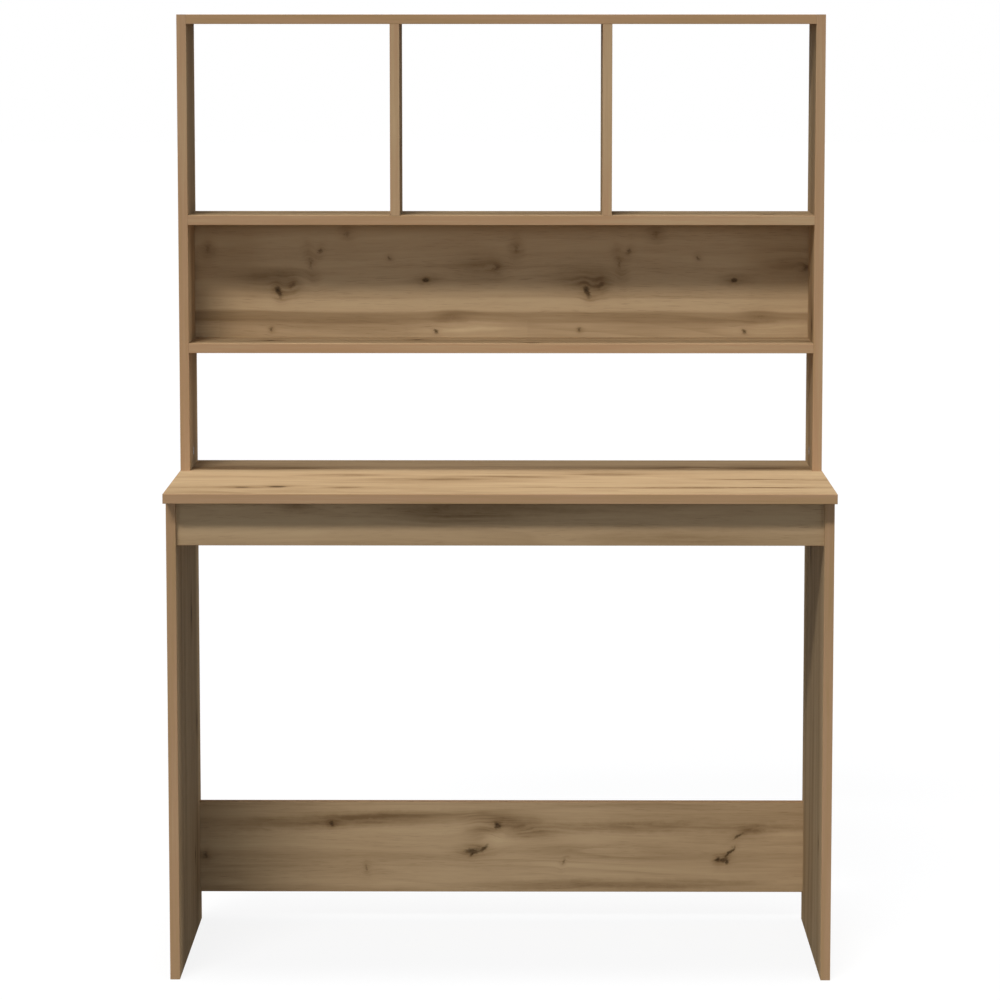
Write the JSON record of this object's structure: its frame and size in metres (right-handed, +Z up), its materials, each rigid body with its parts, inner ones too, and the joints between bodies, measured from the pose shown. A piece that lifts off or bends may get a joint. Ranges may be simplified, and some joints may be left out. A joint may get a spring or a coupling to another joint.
{
  "type": "desk with shelves",
  "caption": "Writing desk with panel legs, a front apron, a rear stretcher and an open shelf hutch on its top, in wood-decor boards with hidden cam and dowel joints.",
  "frame": {"origin": "on the floor, midway across the desktop's width and depth", "axes": "+X to the sitter's right, +Y to the wall behind the desk, +Z up"},
  "size_m": [1.02, 0.45, 1.48],
  "materials": {
    "oak_board": "satin knotty-oak decor on chipboard",
    "oak_edge_band": "satin knotty-oak decor edge band",
    "beech_dowel": "raw beech",
    "zinc_plated_steel": "zinc plated",
    "cast_zinc": "die cast, matt"
  },
  "bodies": {
    "root": {"apron_cam_bolts": "zinc_plated_steel", "apron_cam_locks": "cast_zinc", "apron_dowels": "beech_dowel", "back_panel_cam_bolts": "zinc_plated_steel", "back_panel_cam_locks": "cast_zinc", "back_panel_dowels": "beech_dowel", "desktop": "oak_board", "desktop_edge_bands": "oak_edge_band", "divider_cam_bolts": "zinc_plated_steel", "divider_cam_locks": "cast_zinc", "divider_dowels": "beech_dowel", "front_apron": "oak_board", "front_apron_edge_bands": "oak_edge_band", "hutch_back_panel": "oak_board", "hutch_left_side": "oak_board", "hutch_left_side_edge_bands": "oak_edge_band", "hutch_right_side": "oak_board", "hutch_right_side_edge_bands": "oak_edge_band", "hutch_side_cam_bolts": "zinc_plated_steel", "hutch_side_cam_locks": "cast_zinc", "hutch_side_dowels": "beech_dowel", "hutch_top_panel": "oak_board", "hutch_top_panel_cam_bolts": "zinc_plated_steel", "hutch_top_panel_cam_locks": "cast_zinc", "hutch_top_panel_dowels": "beech_dowel", "hutch_top_panel_edge_bands": "oak_edge_band", "left_divider": "oak_board", "left_divider_edge_bands": "oak_edge_band", "left_leg_panel": "oak_board", "left_leg_panel_edge_bands": "oak_edge_band", "leg_cam_bolts": "zinc_plated_steel", "leg_cam_locks": "cast_zinc", "leg_dowels": "beech_dowel", "lower_shelf": "oak_board", "lower_shelf_cam_bolts": "zinc_plated_steel", "lower_shelf_cam_locks": "cast_zinc", "lower_shelf_dowels": "beech_dowel", "lower_shelf_edge_bands": "oak_edge_band", "rear_stretcher": "oak_board", "rear_stretcher_edge_bands": "oak_edge_band", "right_divider": "oak_board", "right_divider_edge_bands": "oak_edge_band", "right_leg_panel": "oak_board", "right_leg_panel_edge_bands": "oak_edge_band", "stretcher_cam_bolts": "zinc_plated_steel", "stretcher_cam_locks": "cast_zinc", "stretcher_dowels": "beech_dowel", "upper_shelf": "oak_board", "upper_shelf_cam_bolts": "zinc_plated_steel", "upper_shelf_cam_locks": "cast_zinc", "upper_shelf_dowels": "beech_dowel", "upper_shelf_edge_bands": "oak_edge_band"}
  },
  "joints": []
}
